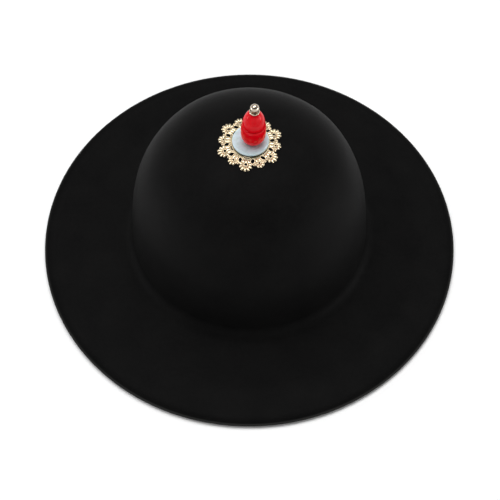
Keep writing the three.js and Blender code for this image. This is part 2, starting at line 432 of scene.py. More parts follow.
# %% Both walls of the felt
run = np.gradient(outside, axis=0)
run /= np.hypot(*run.T)[:, None]
run[0] = (1, 0)
inwards = np.column_stack([run[:, 1], -run[:, 0]])
inside = outside + inwards * FELT
edge_middle = outside[-1] + inwards[-1] * FELT / 2
edge_turn = math.degrees(math.atan2(*-inwards[-1][::-1]))
cut_edge = arc(edge_middle, FELT / 2, edge_turn, edge_turn - 180, CUT_EDGE_POINTS)[1:-1]
felt_section = np.vstack([outside, cut_edge, inside[::-1]])
print("felt section:", len(felt_section), "points, top at", outside[0][1])


# %% [markdown]
# Every finish starts as an empty material and ends in one Principled shader. Patterns read Object
# coordinates, which are metres here, so a noise of scale 400 has spots a few millimetres wide. Stretching
# the coordinates before a noise draws its spots out into fibres or scratches.

# %% Helpers for finishes
def new_finish(name):
    """An empty material and its tree."""
    print("finish:", name)
    material = bpy.data.materials.new(name)
    material.use_nodes = True
    material.node_tree.nodes.clear()
    return material, Tree(material.node_tree)


def end_finish(tree, sockets):
    """Closes a material with one Principled shader."""
    shader = tree.node("ShaderNodeBsdfPrincipled", {}, sockets)
    tree.node("ShaderNodeOutputMaterial", {}, {"Surface": shader})


def noise(tree, vector, scale, detail, distortion=0.0):
    """Noise from 0 to 1 on a vector."""
    sockets = {"Vector": vector, "Scale": scale, "Detail": detail, "Distortion": distortion}
    return tree.node("ShaderNodeTexNoise", {}, sockets)


def stretched(tree, vector, stretch, turn):
    """A vector whose pattern is drawn out along one direction."""
    sockets = {"Vector": vector, "Scale": stretch, "Rotation": turn}
    return tree.node("ShaderNodeMapping", {}, sockets)


# %% [markdown]
# Felt is pressed wool. Up close its surface is short tangled fibre, brushed flat, and it swallows nearly
# all light. So the base colour is close to black, the gloss is rough and turned far down, and only a trace
# of Sheen is left: under large soft lamps more of either would turn the hat grey. Noise at three scales
# mottles the colour, and a stretched, twisted noise is the fibre in the bump. The last two millimetres of
# the brim are painted paler: partly the pale ends of the cut fibre, partly a painted sheen along the edge.

# %% Felt finish
FELT_DARK = (0.0026, 0.0026, 0.0027, 1)
FELT_LIGHT = (0.0052, 0.0051, 0.0050, 1)
# The brim edge's paler colour is partly pale cut fibre and partly painted sheen.
FELT_CUT_AND_SHEEN = (0.022, 0.022, 0.021, 1)
CUT_AND_SHEEN_STARTS = 2.2 * MM
CUT_AND_SHEEN_FULL = 0.6 * MM


def distance_from_axis(tree, place):
    """How far a place is from the Z axis."""
    on_plane = tree.node("ShaderNodeVectorMath", {"operation": "MULTIPLY"}, {0: place, 1: (1, 1, 0)})
    return tree.node("ShaderNodeVectorMath", {"operation": "LENGTH"}, {0: on_plane}, "Value")


def felt_finish():
    """Black wool with fine mottling, short fibres and a paler brim edge of cut fibre ends and painted
    sheen.
    """
    material, tree = new_finish("black_felt")
    place = tree.node("ShaderNodeTexCoord", {}, {}, "Object")
    patch = noise(tree, place, 38, 2)
    mottle = noise(tree, place, 420, 3)
    fibre_one = noise(tree, stretched(tree, place, (1, 5, 2), (0.3, 0.2, 0.5)), 700, 2, 2.5)
    fibre_two = noise(tree, stretched(tree, place, (4, 1, 3), (0.7, 0.1, 1.9)), 900, 2, 2.5)
    fibre = fibre_one * 0.5 + fibre_two * 0.5
    shade = patch * 0.35 + mottle * 0.35 + fibre * 0.3
    clear = tree.node(
        "ShaderNodeMapRange", {}, {"Value": shade, "From Min": 0.36, "From Max": 0.64}
    )
    body = mixed(tree, clear, FELT_DARK, FELT_LIGHT)
    reach = distance_from_axis(tree, place)
    # Painted paler edge on the last millimetres of the brim: partly cut fibre ends, partly painted sheen.
    cut_and_sheen = tree.node(
        "ShaderNodeMapRange",
        {"interpolation_type": "SMOOTHSTEP"},
        {"Value": reach, "From Min": BRIM_RADIUS - CUT_AND_SHEEN_STARTS, "From Max": BRIM_RADIUS - CUT_AND_SHEEN_FULL},
    )
    colour = mixed(tree, cut_and_sheen * (0.5 + fibre * 0.5), body, FELT_CUT_AND_SHEEN)
    bump = tree.node(
        "ShaderNodeBump",
        {},
        {"Height": fibre * 0.6 + mottle * 0.4, "Strength": 0.35, "Distance": 0.4 * MM},
    )
    end_finish(tree, {
        "Base Color": colour,
        "Roughness": 0.48 + fibre * 0.14,
        "Normal": bump,
        "Specular IOR Level": 0.03,
        "Sheen Weight": 0.004,
        "Sheen Roughness": 0.35,
        "Sheen Tint": grey(0.9),
    })
    return material


FELT_FINISH = felt_finish()


# %% [markdown]
# A blocked felt is never a perfect turned form: the steam and the hand leave it a fraction of a millimetre
# uneven. A second small tree moves every point by a slow noise vector. Both walls move together, so the
# felt keeps its thickness, and the ring that the hat rests on stays where it is.

# %% A tree that makes felt uneven
def uneven_tree():
    """A tree that moves every point by slow noise, more and more between two heights."""
    inputs = {
        "Unevenness": "NodeSocketFloat",
        "Patch size": "NodeSocketFloat",
        "Still height": "NodeSocketFloat",
        "Moving height": "NodeSocketFloat",
        "Finish": "NodeSocketMaterial",
    }
    tree, given = new_shape_tree("uneven_felt", inputs)
    position = tree.node("GeometryNodeInputPosition")
    height = tree.node("ShaderNodeSeparateXYZ", {}, {0: position}, "Z")
    share = tree.node(
        "ShaderNodeMapRange",
        {"interpolation_type": "SMOOTHSTEP"},
        {"Value": height, "From Min": given["Still height"], "From Max": given["Moving height"]},
    )
    wave = noise(tree, position, 1 / given["Patch size"], 1.0).output("Color")
    centred = tree.node("ShaderNodeVectorMath", {"operation": "SUBTRACT"}, {0: wave, 1: (0.5,) * 3})
    offset = tree.node(
        "ShaderNodeVectorMath",
        {"operation": "SCALE"},
        {"Vector": centred, "Scale": share * given["Unevenness"] * 2},
    )
    moved = tree.node("GeometryNodeSetPosition", {}, {"Geometry": given["Geometry"], "Offset": offset})
    end_shape_tree(tree, moved, given["Finish"])
    return tree


# %% [markdown]
# Both trees run on the felt, one after the other: the section is turned into the hat, and the hat is made
# uneven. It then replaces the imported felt.

# %% The felt
FELT_TURNS = 240
felt = new_piece("felt_hat", section_mesh("felt", felt_section))
reshape(felt, TURNING, {"Turns": FELT_TURNS, "Finish": FELT_FINISH})
reshape(
    felt,
    uneven_tree(),
    {
        "Unevenness": 0.7 * MM,
        "Patch size": 62 * MM,
        "Still height": 3.0 * MM,
        "Moving height": 30 * MM,
        "Finish": FELT_FINISH,
    },
)
closed_up(felt)
install(felt, "felt_body")


# %% [markdown]
# The small ornament is made of pieces that a pin holds together. The pin leans a little to the right, so
# the beads do too. One matrix holds that axis: it starts on top of the disc, and every piece of the stack
# is turned upright at first and then set on the axis. Sections of small pieces are drawn in millimetres
# and made metres when their mesh is built. A hair's breadth of room is left between any two pieces.

# %% Axis of the bead stack
GAP = 0.3
DISC = {
    "radius": 13.55, "height": 2.5, "bore": 3.2, "corner": 1.15, "corner_ends": 86, "swell": 0.12,
    "corner_points": 9, "top_points": 10,
}
CROWN_TOP = outside[0][1]
PLATE_FOOT = CROWN_TOP + GAP * MM
PLATE_THICKNESS = 1.0 * MM
DISC_FOOT = PLATE_FOOT + PLATE_THICKNESS + GAP * MM
DISC_TOP = DISC_FOOT + DISC["height"] * MM
STACK_SHIFT = 2.65 * MM
STACK_LEAN = math.radians(1.75)
STACK = Matrix.Translation((STACK_SHIFT, 0, DISC_TOP)) @ Matrix.Rotation(STACK_LEAN, 4, "Y")
print("the plate starts at", PLATE_FOOT, "and the beads stand on the disc at", DISC_TOP)


def on_axis(height):
    """The place on the stack's axis that is some millimetres above the disc."""
    return STACK @ Matrix.Translation((0, 0, height * MM))


def turned_piece(name, section, turns, finish, place, sharp_from):
    """A turned piece from a section in millimetres, set in its place by moving its mesh."""
    piece = new_piece(name, section_mesh(name, np.array(section) * MM))
    reshape(piece, TURNING, {"Turns": turns, "Finish": finish})
    piece.data.transform(place)
    return closed_up(piece, sharp_from)


def around(section):
    """A ring's section, which ends where it started."""
    return np.vstack([section, section[:1]])


# %% [markdown]
# The disc under the beads is a flat polished button, bluish white, with a faint play of pink and green.
# Its edge is rounded and its top swells slightly. The play of colour is two soft noises that pull a pale
# base towards rose and towards sea green, both so weak that the disc still reads as white at a distance.

# %% Finish of the pale disc
OPAL_BLUE = (0.48, 0.61, 0.67, 1)
OPAL_WHITE = (0.56, 0.67, 0.70, 1)
OPAL_ROSE = (0.50, 0.42, 0.50, 1)
OPAL_GREEN = (0.37, 0.50, 0.46, 1)


def patches(tree, pattern):
    """The brighter half of a noise, spread to the range from 0 to 1."""
    return tree.node("ShaderNodeMapRange", {}, {"Value": pattern, "From Min": 0.45, "From Max": 0.7})


def opal_finish():
    """A bluish white stone that light enters a little way."""
    material, tree = new_finish("pale_opal")
    place = tree.node("ShaderNodeTexCoord", {}, {}, "Object")
    rose = noise(tree, place, 260, 2, 0.6)
    green = noise(tree, place, 340, 2, 0.8)
    cloud = noise(tree, place, 120, 1)
    base = mixed(tree, cloud, OPAL_BLUE, OPAL_WHITE)
    warmer = mixed(tree, patches(tree, rose) * 0.35, base, OPAL_ROSE)
    colour = mixed(tree, patches(tree, green) * 0.55, warmer, OPAL_GREEN)
    end_finish(tree, {
        "Base Color": colour,
        "Roughness": 0.34 + cloud * 0.1,
        "Specular IOR Level": 0.35,
        "Subsurface Weight": 0.5,
        "Subsurface Radius": (0.8, 0.9, 1.0),
        "Subsurface Scale": 4 * MM,
    })
    return material


# %% [markdown]
# The disc's section has a flat foot, a rounded edge and a top that swells like a shallow lens. It is bored
# for the pin. The disc isn't quite in the middle of the plate, so its place has a small shift.

# %% Pale disc
DISC_SHIFT = 0.95 * MM
DISC_TURNS = 96


def disc_section():
    """A flat foot, a rounded edge, a swelling top and the bore."""
    r, h, corner, count = DISC["radius"], DISC["height"], DISC["corner"], DISC["corner_points"]
    low = arc((r - corner, corner), corner, -90, 0, count)
    high = arc((r - corner, h - corner - DISC["swell"]), corner, 0, DISC["corner_ends"], count)
    reach = np.linspace(r - corner, DISC["bore"], DISC["top_points"])[1:]
    rise = DISC["swell"] * (1 - (reach / (r - corner)) ** 2)
    top = np.column_stack([reach, h - DISC["swell"] + rise])
    return around(np.vstack([[DISC["bore"], 0], low, high, top]))


disc_place = Matrix.Translation((DISC_SHIFT, 0, DISC_FOOT))
disc = turned_piece(
    "opal_disc_smooth", disc_section(), DISC_TURNS, opal_finish(), disc_place, sharp_from=50
)
install(disc, "opal_disc")


# %% [markdown]
# The two red beads are glass or clear resin: a drum with a rounded side, and a bullet on top of it. They
# are deep red all through and very smooth, so two low lamps show as small bright windows on them. Their
# gloss is turned down all the same, because full gloss would mirror the pale studio as a milky haze. A
# little colour change inside and a hair of waviness in the surface keep them from looking computed.

# %% Finish of the beads
RED_DARK = (0.51, 0.001, 0.004, 1)
RED_LIGHT = (0.66, 0.002, 0.009, 1)


def red_finish():
    """Deep red glass."""
    material, tree = new_finish("red_bead")
    place = tree.node("ShaderNodeTexCoord", {}, {}, "Object")
    depth = noise(tree, place, 160, 2, 0.4)
    colour = mixed(tree, depth, RED_DARK, RED_LIGHT)
    ripple = noise(tree, place, 300, 1)
    bump = tree.node(
        "ShaderNodeBump", {}, {"Height": ripple, "Strength": 0.03, "Distance": 0.3 * MM}
    )
    end_finish(tree, {
        "Base Color": colour,
        "Roughness": 0.04 + depth * 0.04,
        "Normal": bump,
        "IOR": 1.5,
        "Specular IOR Level": 0.13,
        "Subsurface Weight": 0.15,
        "Subsurface Radius": (1.0, 0.1, 0.1),
        "Subsurface Scale": 2 * MM,
    })
    return material


RED_FINISH = red_finish()


# %% [markdown]
# Where two runs of a section meet at an angle, a real piece has a small round edge, and light catches on
# it. Rounding the corners of a section does for a turned piece what a Bevel modifier does for a box.

# %% Round the corners of a section
ROUND_FROM = math.radians(20)
ROUND_SHARE = 0.9
ROUND_POINTS = 6


def rounded(section, corner):
    """Rounds every sharp corner inside a section, by an arc of about the given radius."""
    section = np.array(section, float)
    points = [section[0]]
    for before, here, after in zip(section, section[1:], section[2:]):
        length_back = np.hypot(*(before - here))
        length_on = np.hypot(*(after - here))
        back = (before - here) / length_back
        onwards = (after - here) / length_on
        bend = math.pi - math.acos(np.clip(back @ onwards, -1, 1))
        if bend < ROUND_FROM:
            points.append(here)
            continue
        reach = min(corner * math.tan(bend / 2), min(length_back, length_on) * ROUND_SHARE)
        for share in np.linspace(0, 1, ROUND_POINTS):
            first = here + back * reach * (1 - share)
            second = here + onwards * reach * share
            points.append(first * (1 - share) + second * share)
    points.append(section[-1])
    return np.array(points)


# %% [markdown]
# The lower bead is widest at the middle of its height, and each bend says how late its side turns in. The
# upper bead is widest at its foot. Its side follows one curve, from there to the collar's seat.

# %% Sections of the beads
BORE = 1.1
LOWER_BEAD = {
    "radius": 9.31, "height": 18.9, "foot": 6.0, "shoulder": 8.5, "corner": 0.5,
    "widest": 0.53, "foot_bend": 2.6, "shoulder_bend": 3.2, "points": 34,
}
UPPER_BEAD = {
    "radius": 8.44, "height": 14.0, "top": 3.23, "corner": 0.7, "across": 1.84, "up": 1.725,
    "edge": 0.3, "points": 30, "corner_points": 8,
}


def lower_bead_section():
    """A barrel: the side curves in a long way to the foot and a little to the shoulder."""
    r, h, widest = LOWER_BEAD["radius"], LOWER_BEAD["height"], LOWER_BEAD["widest"]
    share = np.linspace(0, 1, LOWER_BEAD["points"])
    below = np.clip(1 - share / widest, 0, None) ** LOWER_BEAD["foot_bend"]
    above = np.clip((share - widest) / (1 - widest), 0, None) ** LOWER_BEAD["shoulder_bend"]
    reach = r - (r - LOWER_BEAD["foot"]) * below - (r - LOWER_BEAD["shoulder"]) * above
    side = np.column_stack([reach, h * share])
    section = np.vstack([[BORE, 0], side, [BORE, h], [BORE, h / 2]])
    return around(rounded(section, LOWER_BEAD["corner"]))


def upper_bead_section():
    """A bullet: widest at the foot, and narrowing ever faster to the collar's seat."""
    r, h, corner = UPPER_BEAD["radius"], UPPER_BEAD["height"], UPPER_BEAD["corner"]
    lost = 1 - (UPPER_BEAD["top"] / r) ** UPPER_BEAD["across"]
    share = np.linspace(0, 1, UPPER_BEAD["points"])
    reach = r * (1 - lost * share ** UPPER_BEAD["up"]) ** (1 / UPPER_BEAD["across"])
    side = np.column_stack([reach, corner + (h - corner) * share])
    foot = arc((r - corner, corner), corner, -90, 0, UPPER_BEAD["corner_points"])[:-1]
    section = np.vstack([[BORE, 0], foot, side, [BORE, h], [BORE, h / 2]])
    return around(rounded(section, UPPER_BEAD["edge"]))


# %% [markdown]
# The lower bead's foot is square to the leaning axis, so it is lifted until its low side clears the disc.
# The upper bead stands on the lower one.

# %% Beads
BEAD_TURNS = 96
BEAD_SHARP_FROM = 40
LOWER_FOOT = GAP + LOWER_BEAD["foot"] * math.sin(STACK_LEAN)
UPPER_FOOT = LOWER_FOOT + LOWER_BEAD["height"] + GAP


def bead(name, section, foot):
    """A red piece on the stack's axis, its foot some millimetres above the disc."""
    return turned_piece(name, section, BEAD_TURNS, RED_FINISH, on_axis(foot), BEAD_SHARP_FROM)


lower_bead = bead("lower_bead_smooth", lower_bead_section(), LOWER_FOOT)
upper_bead = bead("upper_bead_smooth", upper_bead_section(), UPPER_FOOT)
install(lower_bead, "lower_red_bead")
install(upper_bead, "upper_red_bead")


# %% [markdown]
# The metal of the ornament is brass with a thin pale gold plating. Plated metal takes its colour from its
# reflection, so Metallic is 1 and the base colour is the colour of a highlight. The collar and the ball
# are polished. The openwork plate is the same metal, tumbled instead of polished: its wires, drops and
# grains have been rubbed bright. The web behind them is painted dark and dull, as painted shade in the
# hollows.

# %% Gold finishes
def gold_finish(name, bright, dull, roughness, ripple_strength):
    """Plated metal that changes from dull to bright in small specks."""
    material, tree = new_finish(name)
    place = tree.node("ShaderNodeTexCoord", {}, {}, "Object")
    wear = noise(tree, place, 900, 3)
    ripple = noise(tree, place, 1400, 2)
    bump = tree.node(
        "ShaderNodeBump", {}, {"Height": ripple, "Strength": ripple_strength, "Distance": 0.15 * MM}
    )
    end_finish(tree, {
        "Base Color": mixed(tree, wear, dull, bright),
        "Metallic": 1.0,
        "Roughness": roughness + wear * 0.12,
        "Normal": bump,
    })
    return material


POLISHED_GOLD = gold_finish(
    "champagne_gold",
    bright=(0.58, 0.50, 0.41, 1),
    dull=(0.47, 0.39, 0.30, 1),
    roughness=0.10,
    ripple_strength=0.05,
)
TUMBLED_GOLD = gold_finish(
    "champagne_gold_tumbled",
    bright=(0.84, 0.73, 0.54, 1),
    dull=(0.60, 0.48, 0.30, 1),
    roughness=0.18,
    ripple_strength=0.2,
)
# The web's darker gold is painted shade for the hollows behind the wires, drops and grains.
WEB_SHADE_GOLD = gold_finish(
    "champagne_gold_painted_shade",
    bright=(0.50, 0.40, 0.25, 1),
    dull=(0.18, 0.14, 0.08, 1),
    roughness=0.30,
    ripple_strength=0.3,
)


# %% [markdown]
# The collar is a shallow dish with a round rim, and the ball's foot covers its hollow. The ball is bored
# from below for the pin, so its section starts at the end of that bore. It ends at the ball's top.

# %% Collar and ball
COLLAR = {
    "radius": 3.8, "height": 1.3, "foot": 2.9, "rim": 0.42, "rim_starts": -40, "rim_points": 16,
    "dish": 0.35, "rims_to_dish": 2.6, "edge": 0.3,
}
BALL_RADIUS = 3.27
BALL_BORE_DEPTH = 3.0
BALL_POINTS = 40
SMALL_TURNS = 64


def collar_section():
    """A shallow dish: a flat foot, a flared side, a round rim and a hollow inside."""
    r, h, rim, dish = COLLAR["radius"], COLLAR["height"], COLLAR["rim"], COLLAR["dish"]
    top = arc((r - rim, h - rim), rim, COLLAR["rim_starts"], 180, COLLAR["rim_points"])
    hollow = [[r - COLLAR["rims_to_dish"] * rim, dish], [BORE, dish]]
    section = np.vstack([[BORE, 0], [COLLAR["foot"], 0], top, hollow])
    return around(rounded(section, COLLAR["edge"]))


def ball_section():
    """A ball whose foot is cut flat where the bore goes in."""
    first = math.acos(BORE / BALL_RADIUS)
    centre = BALL_RADIUS * math.sin(first)
    side = arc((0, centre), BALL_RADIUS, -math.degrees(first), 90, BALL_POINTS)
    side[-1, 0] = 0
    return np.vstack([[0, BALL_BORE_DEPTH], [BORE, BALL_BORE_DEPTH], side])


COLLAR_FOOT = UPPER_FOOT + UPPER_BEAD["height"] + GAP
BALL_FOOT = COLLAR_FOOT + COLLAR["height"] + GAP
collar = turned_piece(
    "collar_smooth", collar_section(), SMALL_TURNS, POLISHED_GOLD, on_axis(COLLAR_FOOT), sharp_from=60
)
ball = turned_piece(
    "ball_smooth", ball_section(), SMALL_TURNS, POLISHED_GOLD, on_axis(BALL_FOOT), sharp_from=50
)
install(collar, "gold_collar")
install(ball, "gold_ball")


# %% [markdown]
# The pin is hidden: a plain wire through everything, with a flat head inside the crown. It is turned like
# the rest, with a rounded rim on the head, and has the dull finish of plain drawn steel. Its head stays
# clear of the felt's inside, and its tip ends just short of the end of the ball's bore.

# %% Pin
STEEL_DARK = (0.42, 0.42, 0.41, 1)
STEEL_LIGHT = (0.60, 0.60, 0.59, 1)
PIN = {"radius": 0.8, "head": 7.0, "thickness": 1.2, "rim": 0.45, "tip": 0.2}
HEAD_TOP = (CROWN_TOP - FELT - DISC_TOP) / MM - GAP - PIN["head"] * math.sin(STACK_LEAN)
PIN_LENGTH = BALL_FOOT + BALL_BORE_DEPTH - GAP - HEAD_TOP
PIN_TURNS = 48
PIN_RIM_POINTS = 6


def steel_finish():
    """Drawn wire: fine streaks along its length."""
    material, tree = new_finish("plain_steel")
    place = tree.node("ShaderNodeTexCoord", {}, {}, "Object")
    draw = noise(tree, stretched(tree, place, (1, 1, 0.1), (0, 0, 0)), 2500, 2)
    end_finish(tree, {
        "Base Color": mixed(tree, draw, STEEL_DARK, STEEL_LIGHT),
        "Metallic": 1.0,
        "Roughness": 0.32 + draw * 0.15,
    })
    return material


def pin_section():
    """From the middle of the head's underside to the tip, whose edge is broken."""
    r, head, thick, rim, tip = (PIN[key] for key in ("radius", "head", "thickness", "rim", "tip"))
    low = arc((head - rim, rim - thick), rim, -90, 0, PIN_RIM_POINTS)
    high = arc((head - rim, -rim), rim, 0, 90, PIN_RIM_POINTS)
    shaft = [[r, 0], [r, PIN_LENGTH - tip], [r - tip, PIN_LENGTH], [0, PIN_LENGTH]]
    return np.vstack([[0, -thick], low, high, shaft])


pin = turned_piece(
    "pin_smooth", pin_section(), PIN_TURNS, steel_finish(), on_axis(HEAD_TOP), sharp_from=40
)
install(pin, "finial_post")


# %% [markdown]
# The gold plate is openwork: a ring with twelve petals, six large and six small, each a fan of little
# drops about a hole, joined to its neighbours by single grains. Such a plate is cast from a model that was
# built up of wire and grains, so it is built up here in the same way. One table holds the sizes of a large
# petal and one those of a small petal, so a change in a table changes all six of its copies.

# %% Sizes of the openwork plate
PLATE_RING = 19.2
PLATE_HOLE = 4.2
STEP = 60
LARGE = {
    "first": -38, "focus": 19.3, "lobe": 3.5, "hole_at": 19.35, "hole": 1.42, "hole_point": 0.16,
    "fingers": 7, "pitch": 31, "tip": 5.75, "side_tip": 4.75, "finger_width": 2.5,
    "ribs": (-2.0, 0, 2.0), "rib_width": 3.0, "rib_from": 15.1, "rib_to": 18.1, "rib_spread": 0.28,
}
SMALL = {
    "first": -68, "focus": 18.9, "lobe": 2.6, "hole_at": 19.1, "hole": 1.05, "hole_point": 0.18,
    "fingers": 5, "pitch": 36, "tip": 4.5, "side_tip": 4.0, "finger_width": 2.35,
    "ribs": (-1.15, 1.15), "rib_width": 2.4, "rib_from": 14.0, "rib_to": 18.2, "rib_spread": 0.3,
}
FINGER = {"height": 1.9, "from_hole": 0.1}
RIB = {"height": 1.4, "overlap": 0.8}
ALMOND = {
    "circle": 16.7, "off": 16.0, "half_length": 2.25, "half_width": 1.55, "lean": 20,
    "bluntness": 0.25, "points": 26,
}
FOOT_SLIT = {"circle": 14.15, "half_angle": 7.0, "half_width": 0.75, "points": 12, "end_points": 8}
GRAIN = {"circle": 19.9, "off": 17.4, "size": 1.9}


def polar(radius, degrees):
    """The point at a distance and in a direction from the middle."""
    turn = math.radians(degrees)
    return np.array([radius * math.cos(turn), radius * math.sin(turn)])


def rotated(points, degrees):
    """Points turned about the middle."""
    turn = math.radians(degrees)
    spin = np.array([[math.cos(turn), math.sin(turn)], [-math.sin(turn), math.cos(turn)]])
    return np.array(points) @ spin


def petal_angles(petal):
    """The directions of all petals of one kind."""
    return [petal["first"] + STEP * i for i in range(360 // STEP)]


# %% [markdown]
# The outline is the edge of everything laid on top of each other: a ring, and a round lobe for each petal.
# In each direction from the middle, the farthest of them counts. Evenly spaced points keep it smooth.

# %% Outline of the plate
DIRECTIONS = 720
OUTLINE_POINTS = 420


def plate_outline():
    """The farthest of the ring and of the petals' lobes in each direction."""
    turns = np.linspace(0, math.tau, DIRECTIONS, endpoint=False)
    reach = np.full(DIRECTIONS, PLATE_RING)
    for petal in (LARGE, SMALL):
        for degrees in petal_angles(petal):
            away = turns - math.radians(degrees)
            across = petal["focus"] * np.sin(away)
            inside_lobe = (np.cos(away) > 0) & (np.abs(across) < petal["lobe"])
            room = np.sqrt(np.clip(petal["lobe"] ** 2 - across ** 2, 0, None))
            edge = petal["focus"] * np.cos(away) + room
            reach = np.where(inside_lobe, np.maximum(reach, edge), reach)
    points = np.column_stack([reach * np.cos(turns), reach * np.sin(turns)])
    return even(np.vstack([points, points[:1]]), OUTLINE_POINTS + 1)[:-1]


# %% [markdown]
# Every opening is a closed loop of points, drawn once where it is easy to draw, and turned to each petal.
# A large petal has a hole in its middle, a thin slit at its foot and an almond on either side.

# %% Openings of the plate
PLATE_HOLE_POINTS = 40
PETAL_HOLE_POINTS = 20


def circle(centre, radius, count):
    """A closed loop of points round a centre."""
    return arc(centre, radius, 0, 360, count + 1)[:-1]


def petal_hole(petal, degrees):
    """A rounded triangle with its point towards the middle of the plate."""
    turns = np.linspace(0, math.tau, PETAL_HOLE_POINTS, endpoint=False)
    reach = petal["hole"] * (1 + petal["hole_point"] * np.cos(3 * (turns - math.pi)))
    local = np.column_stack([petal["hole_at"] + reach * np.cos(turns), reach * np.sin(turns)])
    return rotated(local, degrees)


def almond(degrees, side):
    """A pointed oval opening beside a large petal, its outer end leaning towards that petal."""
    turns = np.linspace(0, math.tau, ALMOND["points"], endpoint=False)
    along = ALMOND["half_length"] * np.cos(turns)
    across = ALMOND["half_width"] * np.sin(turns) * np.abs(np.sin(turns)) ** ALMOND["bluntness"]
    oval = rotated(np.column_stack([along, across]), -ALMOND["lean"] * side)
    return rotated(oval + [ALMOND["circle"], 0], degrees + ALMOND["off"] * side)


def foot_slit(degrees):
    """The thin curved gap at the foot of a large petal."""
    middle, half, wide = FOOT_SLIT["circle"], FOOT_SLIT["half_angle"], FOOT_SLIT["half_width"]
    count, end_count = FOOT_SLIT["points"], FOOT_SLIT["end_points"]
    outer = arc((0, 0), middle + wide, -half, half, count)
    far_end = arc(polar(middle, half), wide, half, half + 180, end_count)[1:-1]
    inner = arc((0, 0), middle - wide, half, -half, count)
    near_end = arc(polar(middle, -half), wide, 180 - half, 360 - half, end_count)[1:-1]
    return rotated(np.vstack([outer, far_end, inner, near_end]), degrees)


openings = [circle((0, 0), PLATE_HOLE, PLATE_HOLE_POINTS)]
for degrees in petal_angles(LARGE):
    openings += [petal_hole(LARGE, degrees), foot_slit(degrees)]
    openings += [almond(degrees, -1), almond(degrees, 1)]
for degrees in petal_angles(SMALL):
    openings.append(petal_hole(SMALL, degrees))
print("the plate has", len(openings), "openings")


# %% [markdown]
# First comes a thin flat web, cut with every opening. A constrained triangulation follows the outlines and
# fills the rest with an even lattice of points, which lets the web bend smoothly over the crown later. The
# triangles that fell into an opening are then left out.

# %% Web of the plate
WEB_REACH = 26
WEB_LATTICE = 0.75
CLEAR_OF_RIM = 0.55


def within(points, loop):
    """Whether each point lies in a closed loop: a line from it crosses the loop an odd number of times."""
    odd = np.zeros(len(points), bool)
    for (x1, y1), (x2, y2) in zip(loop, np.roll(loop, -1, axis=0)):
        spans = (y1 > points[:, 1]) != (y2 > points[:, 1])
        if spans.any():
            crossing = x1 + (points[:, 1] - y1) / (y2 - y1) * (x2 - x1)
            odd ^= spans & (points[:, 0] < crossing)
    return odd


def web_mesh_data(outline, holes):
    """Flat triangles that fill the outline and leave the holes open."""
    loops = [outline, *holes]
    points = [Vector(point) for loop in loops for point in loop]
    edges = []
    first = 0
    for loop in loops:
        count = len(loop)
        edges += [(first + i, first + (i + 1) % count) for i in range(count)]
        first += count
    reach = np.arange(-WEB_REACH, WEB_REACH, WEB_LATTICE)
    rise = WEB_LATTICE * math.sqrt(3) / 2
    rim = np.vstack(loops)
    for row, y in enumerate(np.arange(-WEB_REACH, WEB_REACH, rise)):
        shift = WEB_LATTICE / 2 * (row % 2)
        line = np.column_stack([reach + shift, np.full(len(reach), y)])
        clear = np.hypot(*(line[:, None] - rim[None]).T).min(axis=0) > WEB_LATTICE * CLEAR_OF_RIM
        points += [Vector(point) for point in line[clear]]
    inside_outline = 1
    vertices, _, faces, *_ = delaunay_2d_cdt(points, edges, [], inside_outline, MERGE)
    corners = np.array(vertices)[np.array(faces)]
    middles = corners.mean(axis=1)
    solid = ~np.any([within(middles, hole) for hole in holes], axis=0)
    return vertices, [list(face) for face, keep in zip(faces, solid) if keep]


# %% [markdown]
# The drops, ribs and grains are placed by a short rule for each petal. Every one is a point that carries
# its direction, its length, its width and its height as attributes, and the node tree later puts one
# small rounded form on each point.

# %% Points of the plate
def drop(points, petal_angle, place, heading, length, width, height):
    """Notes one rounded form, by its place and heading in the petal's own frame."""
    x, y = rotated([place], petal_angle)[0]
    points.append((x, y, math.radians(petal_angle + heading), length, width, height))


def petal_points(points, petal):
    """A fan of fingers round the hole and a few ribs at the foot, for every petal of one kind."""
    for degrees in petal_angles(petal):
        middle = (petal["fingers"] - 1) / 2
        for i in range(petal["fingers"]):
            off = (i - middle) / middle
            heading = petal["pitch"] * (i - middle)
            tip = petal["tip"] + (petal["side_tip"] - petal["tip"]) * off ** 2
            root = petal["hole"] + FINGER["from_hole"]
            centre = np.array([petal["focus"], 0]) + polar((tip + root) / 2, heading)
            drop(points, degrees, centre, heading, tip - root, petal["finger_width"], FINGER["height"])
        for across in petal["ribs"]:
            length = petal["rib_to"] - petal["rib_from"]
            slant = math.degrees(math.atan2(across * petal["rib_spread"], length))
            centre = np.array([(petal["rib_to"] + petal["rib_from"]) / 2, across])
            length += RIB["overlap"]
            drop(points, degrees, centre, slant, length, petal["rib_width"], RIB["height"])


def plate_points():
    """All rounded forms, one row each: place, direction, length, width and height."""
    points = []
    for petal in (LARGE, SMALL):
        petal_points(points, petal)
    for degrees in petal_angles(LARGE):
        for side in (-1, 1):
            place = polar(GRAIN["circle"], GRAIN["off"] * side)
            drop(points, degrees, place, 0, GRAIN["size"], GRAIN["size"], GRAIN["size"])
    return np.array(points)


def plate_start():
    """A mesh with the flat web and, loose beside it, the points for the rounded forms."""
    vertices, faces = web_mesh_data(plate_outline(), openings)
    forms = plate_points()
    flat = [(x, y, 0) for x, y in vertices] + [(x, y, 0) for x, y, *_ in forms]
    mesh = bpy.data.meshes.new("plate_start")
    mesh.from_pydata((np.array(flat) * MM).tolist(), [], faces)
    for column, label in enumerate(("turn", "length", "width", "height"), start=2):
        layer = mesh.attributes.new(label, "FLOAT", "POINT")
        unit = 1 if label == "turn" else MM
        values = np.zeros(len(flat), np.float32)
        values[len(vertices):] = forms[:, column] * unit
        layer.data.foreach_set("value", values)
    print("web:", len(faces), "triangles;", len(forms), "rounded forms")
    return mesh


# %% [markdown]
# Every finger, rib and grain is the same small form, a ball pulled into the shape of a drop, which the
# tree makes once. A point's attributes then say how far it is stretched and which way it is turned.

